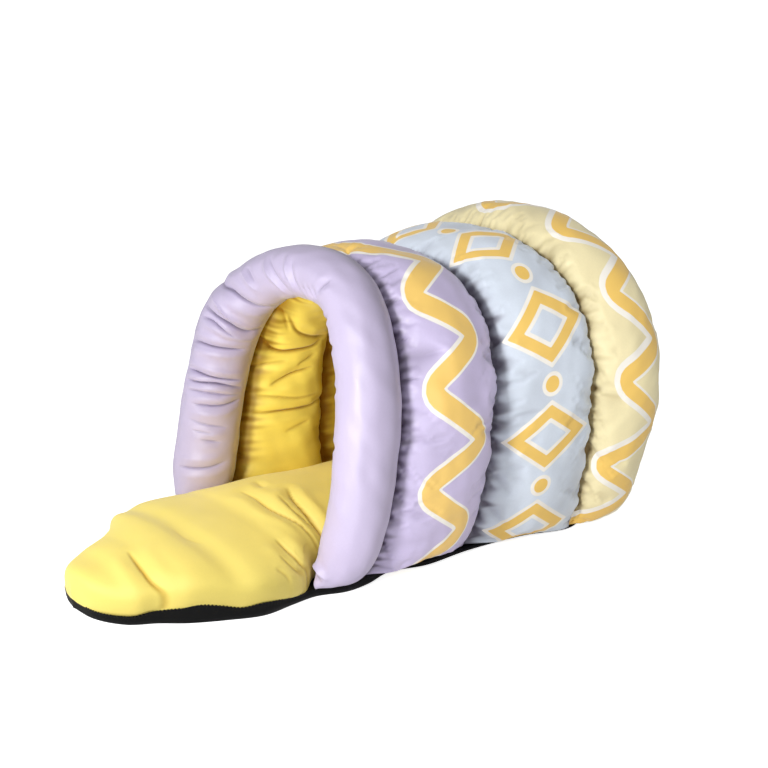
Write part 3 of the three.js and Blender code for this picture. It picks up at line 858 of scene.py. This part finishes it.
def roll_piece(sides, along):
    """The roll: an ellipse carried along its path, with slow and fine lumps and the folds. On the side
    that faces the first band, relief only goes inwards."""
    share = np.linspace(0, 1, along + 1)
    centre, outwards, backwards, thickness, depth, length = roll_frame(share)
    turn = np.linspace(0, 2 * math.pi, sides, endpoint=False)[None]
    run = share[:, None] * length
    round_size = turn * ROLL_SIZE
    rows = [
        (deep, wide, [(place, math.radians(at) * ROLL_SIZE) for place, at in points])
        for deep, wide, points in ROLL_FOLDS
    ]
    folds, painted_shade = fold_lines(rows, run, round_size)
    sway = ROLL_SIZE * (np.cos(turn) + np.sin(turn))
    relief = stuffing(run, sway, ROLL_LUMPS, ROLL_SEEDS) - folds
    out_size = np.maximum(thickness[:, None] + relief, ROLL_THINNEST)
    raised = np.where(np.sin(turn) > 0, 0, np.maximum(relief, 0))
    back_size = depth[:, None] + np.minimum(relief, 0) + raised
    rings = (
        centre[:, None]
        + outwards[:, None] * (np.cos(turn) * out_size)[..., None]
        + backwards[:, None] * (np.sin(turn) * back_size)[..., None]
    )
    sizes = np.stack(np.broadcast_arrays(run, round_size), axis=-1)
    # Painted shade: darker colour in the folds and along the roll's back, in the valley beside the first
    # band.
    seam_valley_shade = bell((turn - math.pi / 2) * ROLL_SIZE, ROLL_SEAM_REACH)
    marks = {"painted_shade_mark": np.minimum(ROLL_FOLD_SHADE * painted_shade + SEAM_SHADE * seam_valley_shade, 1)}
    return "mouth_roll", closed_piece("mouth_roll", on_floor(rings), sizes, marks, -1)


def end_piece(side, rings, around):
    """One half of the end panel: a dome over the last arch and its floor edge, a quarter circle from
    middle to rim, or a flatter one on the lining, with gathers at the rim."""
    u = np.linspace(0, 1, around, endpoint=False)
    feet, _, _ = seam_arch("end", np.array([0, 0.5, 1]))
    middle = ((feet[0] + feet[2]) / 2 + feet[1]) / 2
    on_arch, _, length = seam_arch("end", np.minimum(u / END_ARCH_SHARE, 1))
    along_floor = np.clip((u - END_ARCH_SHARE) / (1 - END_ARCH_SHARE), 0, 1)[:, None]
    floor_edge = feet[2] * (1 - along_floor) + feet[0] * along_floor
    rim = np.where(u[:, None] <= END_ARCH_SHARE, on_arch, floor_edge)
    angle = np.linspace(END_MIDDLE, math.pi / 2, rings)[:, None]
    height = np.cos(angle)
    crown = END_OUTSIDE * height if side > 0 else END_INSIDE * height**2
    grid = middle + (rim - middle) * np.sin(angle)[..., None]
    run = np.broadcast_to(u[None] * length / END_ARCH_SHARE, (rings, around))
    from_rim = (1 - np.sin(angle)) * END_ACROSS + END_OVER * height
    from_rim = np.broadcast_to(from_rim, run.shape)
    relief = lumps(grid[..., 0], grid[..., 2], *END_LUMPS, END_LUMP_SEED + side)
    for row, seed in zip(END_GATHERS, END_GATHER_SEEDS):
        relief = relief - gathers(run, from_rim, *row, seed + side)
    crown = np.maximum(crown + relief * np.minimum(from_rim / END_SEWN, 1), 0)
    grid[..., 1] += side * (GAP / 2 + crown)
    sizes = grid[..., (0, 2)]
    # Painted shade where the gathers and lumps dip.
    marks = {"painted_shade_mark": np.clip(-relief / END_FULL_SHADE, 0, 1)}
    name = "end_panel" if side > 0 else "end_lining"
    return name, closed_piece(name, grid, sizes, marks, -side)


def drawn_in(left, right, share, inset):
    """Places at a share of the way from the left edge to the right one, after both edges are drawn
    in by a distance, which is at most a share of the width."""
    width = np.linalg.norm(right - left, axis=-1, keepdims=True)
    drawn = np.minimum(inset / np.maximum(width, TINY), TUCK_SHARE)
    return left + (right - left) * (drawn + (1 - 2 * drawn) * share)


def mat_piece(top, side, along):
    """The mat: between its two edges a broad crown, a power of a half sine across, with folds, and
    below the edges round sides that tuck in to the seam."""
    rows = np.asarray(MAT_ROWS, float)
    v = np.linspace(TIP_SHARE, 1 - TIP_SHARE, along + 1)
    left_line = smooth_line(rows[:, (0, 1, 4)], v)
    right_line = smooth_line(rows[:, (2, 3, 4)], v)
    length = np.linalg.norm(np.diff(left_line, axis=0), axis=1).sum()
    crown = left_line[:, 2:]
    step = np.arange(top + 2 * side + 1)[None]
    angle = np.clip(step - side, 0, top) / top * math.pi
    under = np.maximum(np.maximum(side - step, step - side - top), 0) / side * math.pi / 2
    share = ((1 - np.cos(angle)) / 2)[..., None]
    inset = (MAT_TUCK * (1 - np.cos(under)))[..., None]
    flat = drawn_in(left_line[:, None, :2], right_line[:, None, :2], share, inset)
    x, y = flat[..., 0], flat[..., 1]
    arch = np.sin(angle) ** MAT_SHOULDER
    relief = stuffing(x, y, MAT_LUMPS, MAT_SEEDS)
    rise = arch * (crown - MAT_SIDE + relief) * fullness(v, length, MAT_TOP_ROUND)[:, None]
    drop = np.sin(under) * MAT_SIDE * fullness(v, length, MAT_UNDER_ROUND)[:, None]
    z = seam_height(y) + GAP + MAT_SIDE + rise - drop
    grid = np.stack([x, y, z], axis=-1)
    folds, painted_shade = fold_lines(MAT_FOLDS, x, y)
    grid = grid + cloth_normals(grid, 1) * (-folds * np.cos(under))[..., None]
    # Painted shade in the folds, fading out on the round sides.
    return "mat", closed_piece("mat", grid, flat, {"painted_shade_mark": painted_shade * np.cos(under)}, 1)


def edge_stitches(edge):
    """How far an edge's stitches stand out and up: arcs of a sine along its length, on the tongue
    alone, with a straight fade where the tongue begins."""
    run = np.concatenate([[0], np.cumsum(np.linalg.norm(np.diff(edge, axis=0), axis=1))])
    share = np.clip((STITCH_END - edge[:, 1]) / STITCH_FADE, 0, 1)
    arcs = np.abs(np.sin(math.pi * run / STITCH_PITCH))
    return STITCH_OUT * share, STITCH_HEIGHT * share * arcs


def underside_piece(wall, along):
    """The underside: flat on the floor, with a wall that bulges as a half sine and tucks in below,
    and a thin lip of stitches on the wall's upper edge."""
    rows = np.asarray(UNDERSIDE_ROWS, float)
    v = np.linspace(TIP_SHARE, 1 - TIP_SHARE, along + 1)
    left = smooth_line(rows[:, :2], v)[:, None]
    right = smooth_line(rows[:, 2:], v)[:, None]
    down = np.linspace(0, 1, wall + 1)
    height = np.concatenate([[1], 1 - down, down, [1]])
    share = np.concatenate([np.ones(wall + 2), np.zeros(wall + 2)])[:, None]
    inset = UNDERSIDE_TUCK * (1 - height) ** 2 - UNDERSIDE_BULGE * np.sin(math.pi * height)
    inset[[0, -1]] = STITCH_LIP
    inset = np.tile(inset, (len(left), 1))
    rise = np.zeros(inset.shape)
    for ring, edge in ((1, right), (-2, left)):
        out, rise[:, ring] = edge_stitches(edge[:, 0])
        inset[:, ring] -= out
    flat = drawn_in(left, right, share, inset[..., None])
    z = seam_height(flat[..., 1]) * height + rise
    grid = np.concatenate([flat, z[..., None]], axis=-1)
    return "underside", closed_piece("underside", grid, flat, {}, 1)


def srgb(red, green, blue):
    """A colour given as it shows on a screen, 0 to 255, as linear light."""
    shown = np.array([red, green, blue]) / 255
    linear = np.where(shown <= 0.04045, shown / 12.92, ((shown + 0.055) / 1.055) ** 2.4)
    return (*linear.tolist(), 1.0)


def put(tree, kind, inputs=(), **settings):
    """A node with its settings. Each input takes a value or another node's output."""
    node = tree.nodes.new(kind)
    for key, value in settings.items():
        setattr(node, key, value)
    for key, value in dict(inputs).items():
        if isinstance(value, bpy.types.NodeSocket):
            tree.links.new(value, node.inputs[key])
        else:
            node.inputs[key].default_value = value
    return node


def maths(tree, operation, first, second=0.0, third=0.0):
    """The result of a sum on two or three values."""
    values = {0: first, 1: second, 2: third}
    return put(tree, "ShaderNodeMath", values, operation=operation).outputs[0]


def blended(tree, factor, first, second):
    """Two colours mixed by a factor."""
    inputs = {0: factor, 6: first, 7: second}
    return put(tree, "ShaderNodeMix", inputs, data_type="RGBA").outputs[2]


def new_group(name, inputs, outputs):
    """An empty shader node group with its sockets, and its two end nodes."""
    tree = bpy.data.node_groups.new(name, "ShaderNodeTree")
    for label, kind in inputs:
        tree.interface.new_socket(label, in_out="INPUT", socket_type=kind)
    for label, kind in outputs:
        tree.interface.new_socket(label, in_out="OUTPUT", socket_type=kind)
    return tree, tree.nodes.new("NodeGroupInput"), tree.nodes.new("NodeGroupOutput")


def weave_group():
    """Fine satin weave: sines along the two directions of the cloth, the second one slanted."""
    tree, given, result = new_group(
        "fine_weave", [("Threads", "NodeSocketFloat")], [("Height", "NodeSocketFloat")]
    )
    place = put(tree, "ShaderNodeUVMap", uv_map="cloth")
    scaled = put(tree, "ShaderNodeVectorMath", {0: place.outputs[0]}, operation="SCALE")
    tree.links.new(given.outputs[0], scaled.inputs["Scale"])
    parts = put(tree, "ShaderNodeSeparateXYZ", {0: scaled.outputs[0]})
    warp = maths(tree, "SINE", maths(tree, "MULTIPLY", parts.outputs[0], 2 * math.pi))
    slant = maths(tree, "MULTIPLY", parts.outputs[0], WEFT_SLANT)
    slanted = maths(tree, "ADD", parts.outputs[1], slant)
    weft = maths(tree, "SINE", maths(tree, "MULTIPLY", slanted, 2 * math.pi))
    height = maths(tree, "MULTIPLY_ADD", maths(tree, "ADD", warp, weft), WEAVE_GAIN, WEAVE_MIDDLE)
    tree.links.new(height, result.inputs[0])
    return tree


def dye_and_shade_group():
    """Uneven colour of dyed cloth: slow and fine noise, and painted shade in creases and seam valleys.
    """
    tree, given, result = new_group(
        "dye_and_painted_shade",
        [("Cloth", "NodeSocketColor"), ("ShadeColour", "NodeSocketColor"), ("PaintedShade", "NodeSocketFloat")],
        [("Color", "NodeSocketColor"), ("Roughness", "NodeSocketFloat")],
    )
    place = put(tree, "ShaderNodeTexCoord").outputs["Object"]
    slow, fine = (
        put(tree, "ShaderNodeTexNoise", {"Vector": place, "Scale": scale, "Detail": NOISE_DETAIL})
        for scale, _ in (SLOW_NOISE, FINE_NOISE)
    )
    # Painted shade: the cloth's colour mixed towards its darker shade colour by the marked amount.
    shade_mixed = blended(tree, given.outputs["PaintedShade"], given.outputs["Cloth"], given.outputs["ShadeColour"])
    value = maths(tree, "MULTIPLY_ADD", slow.outputs[0], SLOW_NOISE[1], LEAST_BRIGHTNESS)
    value = maths(tree, "MULTIPLY_ADD", fine.outputs[0], FINE_NOISE[1], value)
    toned = put(tree, "ShaderNodeHueSaturation", {"Value": value, "Color": shade_mixed})
    tree.links.new(toned.outputs[0], result.inputs["Color"])
    rough = maths(tree, "MULTIPLY_ADD", fine.outputs[0], ROUGHNESS_NOISE, LEAST_ROUGHNESS)
    tree.links.new(rough, result.inputs["Roughness"])
    return tree


def print_group():
    """Gold strokes with a pale rim over the cloth, from the two marked distances."""
    tree, given, result = new_group(
        "gold_print",
        [("Cloth", "NodeSocketColor"), ("Gold", "NodeSocketColor"), ("Rim", "NodeSocketColor")],
        [("Color", "NodeSocketColor")],
    )
    colour = given.outputs["Cloth"]
    for mark, label in (("rim", "Rim"), ("gold", "Gold")):
        distance = put(tree, "ShaderNodeAttribute", attribute_name=mark).outputs["Fac"]
        limits = {0: distance, 1: -PRINT_SOFT, 2: PRINT_SOFT, 3: 1.0, 4: 0.0}
        inside = put(tree, "ShaderNodeMapRange", limits)
        colour = blended(tree, inside.outputs[0], colour, given.outputs[label])
    tree.links.new(colour, result.inputs[0])
    return tree


def cloth_material(name, cloth, shade_colour, groups, printed=False, sheen=SHEEN, shine=SHINE):
    """Stuffed cloth: uneven dyed colour with painted shade in creases and seam valleys, the print, a
    fine weave and sheen.
    """
    material = bpy.data.materials.new(name)
    material.use_nodes = True
    tree = material.node_tree
    shader = tree.nodes["Principled BSDF"]
    # Painted shade, as marked on each piece in its folds, gathers and seam valleys.
    painted_shade_mark = put(tree, "ShaderNodeAttribute", attribute_name="painted_shade_mark").outputs["Fac"]
    dye_and_shade = put(tree, "ShaderNodeGroup", node_tree=groups["dye_and_shade"])
    dye_and_shade.inputs["Cloth"].default_value = srgb(*cloth)
    dye_and_shade.inputs["ShadeColour"].default_value = srgb(*shade_colour)
    tree.links.new(painted_shade_mark, dye_and_shade.inputs["PaintedShade"])
    colour = dye_and_shade.outputs["Color"]
    if printed:
        prints = put(tree, "ShaderNodeGroup", node_tree=groups["print"])
        prints.inputs["Gold"].default_value = srgb(*GOLD)
        prints.inputs["Rim"].default_value = srgb(*RIM)
        tree.links.new(colour, prints.inputs["Cloth"])
        colour = prints.outputs["Color"]
    weave = put(tree, "ShaderNodeGroup", node_tree=groups["weave"])
    weave.inputs["Threads"].default_value = THREADS
    relief = put(tree, "ShaderNodeBump", {"Strength": WEAVE_STRENGTH, "Distance": WEAVE_DEPTH})
    tree.links.new(weave.outputs["Height"], relief.inputs["Height"])
    tree.links.new(colour, shader.inputs["Base Color"])
    tree.links.new(dye_and_shade.outputs["Roughness"], shader.inputs["Roughness"])
    tree.links.new(relief.outputs[0], shader.inputs["Normal"])
    shader.inputs["Sheen Weight"].default_value = sheen
    shader.inputs["Sheen Roughness"].default_value = SHEEN_ROUGHNESS
    shader.inputs["Specular IOR Level"].default_value = shine
    return material


groups = {"weave": weave_group(), "dye_and_shade": dye_and_shade_group(), "print": print_group()}
materials = {
    name: cloth_material(name, cloth, shade_colour, groups, **finish)
    for name, (cloth, shade_colour, finish) in CLOTHS.items()
}

# Each piece with the node that it replaces, its material, its finish and its fill.
made = [
    (*roll_piece(*ROLL_GRID), "roll_cloth", "roll_cloth", ROLL_FILL),
    (*mat_piece(*MAT_GRID), "mat_cloth", "mat_cloth", MAT_FILL),
    (*end_piece(1, *END_PANEL_GRID), "plain_cream", "cream_cloth", END_PANEL_FILL),
    (*end_piece(-1, *END_LINING_GRID), "lining_cloth", "lining_cloth", END_LINING_FILL),
    (*underside_piece(*UNDERSIDE_GRID), "underside_cloth", "underside_cloth", UNDERSIDE_FILL),
]
for name in BANDS:
    made.append((*band_piece(name, 1, *BAND_GRID), f"{name}_cloth", f"{name}_cloth", BAND_FILL))
    inner = band_piece(name, -1, *(FRONT_LINING_GRID if name == "lilac" else LINING_GRID))
    made.append((*inner, "lining_cloth", "lining_cloth", LINING_FILL))
pieces = {node: piece for node, piece, *_ in made}
for node, piece, material_name, finish_name, fill in made:
    piece.data.materials.append(materials[material_name])
    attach(piece, "root")
    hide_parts(node)


def area_light(name, place, target, size, power, spread, only_on, not_on):
    """A soft square light that faces a target, with its spread in degrees. Where pieces are named,
    it lights only those, or all but those."""
    lamp = bpy.data.lights.new(name, "AREA")
    lamp.energy, lamp.size, lamp.spread = power, size, math.radians(spread)
    light = bpy.data.objects.new(name, lamp)
    light.location = place
    light.visible_camera = False
    light.rotation_mode = "QUATERNION"
    light.rotation_quaternion = (target - light.location).to_track_quat("-Z", "Y")
    bpy.context.scene.collection.objects.link(light)
    if only_on or not_on:
        lit = bpy.data.collections.new(f"{name}_lights")
        for node in (*only_on, *not_on):
            lit.objects.link(pieces[node])
        light.light_linking.receiver_collection = lit
        if not_on:
            for linked in lit.collection_objects:
                linked.light_linking.link_state = "EXCLUDE"


def surroundings():
    """White where the camera sees them, and a softer white light on the bed."""
    world = bpy.data.worlds.new("white_studio")
    bpy.context.scene.world = world
    world.use_nodes = True
    tree = world.node_tree
    tree.nodes.clear()
    seen = put(tree, "ShaderNodeBackground", {0: WHITE, 1: 1.0})
    lit = put(tree, "ShaderNodeBackground", {0: WHITE, 1: AMBIENT})
    rays = put(tree, "ShaderNodeLightPath").outputs["Is Camera Ray"]
    both = put(tree, "ShaderNodeMixShader", {0: rays, 1: lit.outputs[0], 2: seen.outputs[0]})
    put(tree, "ShaderNodeOutputWorld", {0: both.outputs[0]})


def pale_floor():
    """A wide pale square just below the bed, which glows for the camera and is clear from below."""
    floor_mesh = bpy.data.meshes.new("floor")
    corners = ((-1, -1), (1, -1), (1, 1), (-1, 1))
    places = [(x * FLOOR_REACH, y * FLOOR_REACH, -FLOOR_DROP) for x, y in corners]
    floor_mesh.from_pydata(places, [], [(0, 1, 2, 3)])
    floor = bpy.data.objects.new("floor", floor_mesh)
    bpy.context.scene.collection.objects.link(floor)
    pale = bpy.data.materials.new("pale_floor")
    pale.use_nodes = True
    tree = pale.node_tree
    shader = tree.nodes["Principled BSDF"]
    shader.inputs["Base Color"].default_value = FLOOR_COLOUR
    shader.inputs["Roughness"].default_value = FLOOR_ROUGHNESS
    shader.inputs["Emission Color"].default_value = WHITE
    rays = put(tree, "ShaderNodeLightPath").outputs["Is Camera Ray"]
    glow = maths(tree, "MULTIPLY", rays, FLOOR_GLOW)
    tree.links.new(glow, shader.inputs["Emission Strength"])
    below = put(tree, "ShaderNodeNewGeometry").outputs["Backfacing"]
    clear = put(tree, "ShaderNodeBsdfTransparent")
    shaders = {0: below, 1: shader.outputs[0], 2: clear.outputs[0]}
    sides = put(tree, "ShaderNodeMixShader", shaders)
    tree.links.new(sides.outputs[0], tree.nodes["Material Output"].inputs["Surface"])
    floor_mesh.materials.append(pale)


def photo_camera():
    """The camera, on a ball round the target at its turn and tilt."""
    turn, tilt = math.radians(CAMERA_TURN), math.radians(CAMERA_TILT)
    backwards = Vector(
        (math.sin(turn) * math.cos(tilt), -math.cos(turn) * math.cos(tilt), math.sin(tilt))
    )
    lens = bpy.data.cameras.new("camera")
    lens.sensor_width = SENSOR
    lens.lens = SENSOR * CAMERA_FOCAL
    camera = bpy.data.objects.new("camera", lens)
    camera.location = Vector(TARGET) + backwards * CAMERA_DISTANCE
    camera.rotation_mode = "QUATERNION"
    camera.rotation_quaternion = backwards.to_track_quat("Z", "Y")
    bpy.context.scene.collection.objects.link(camera)
    bpy.context.scene.camera = camera


surroundings()
pale_floor()
for name, place, aim, *settings in LIGHTS:
    area_light(name, Vector(place), Vector(aim), *settings)
photo_camera()
bpy.context.scene.view_settings.view_transform = "Standard"
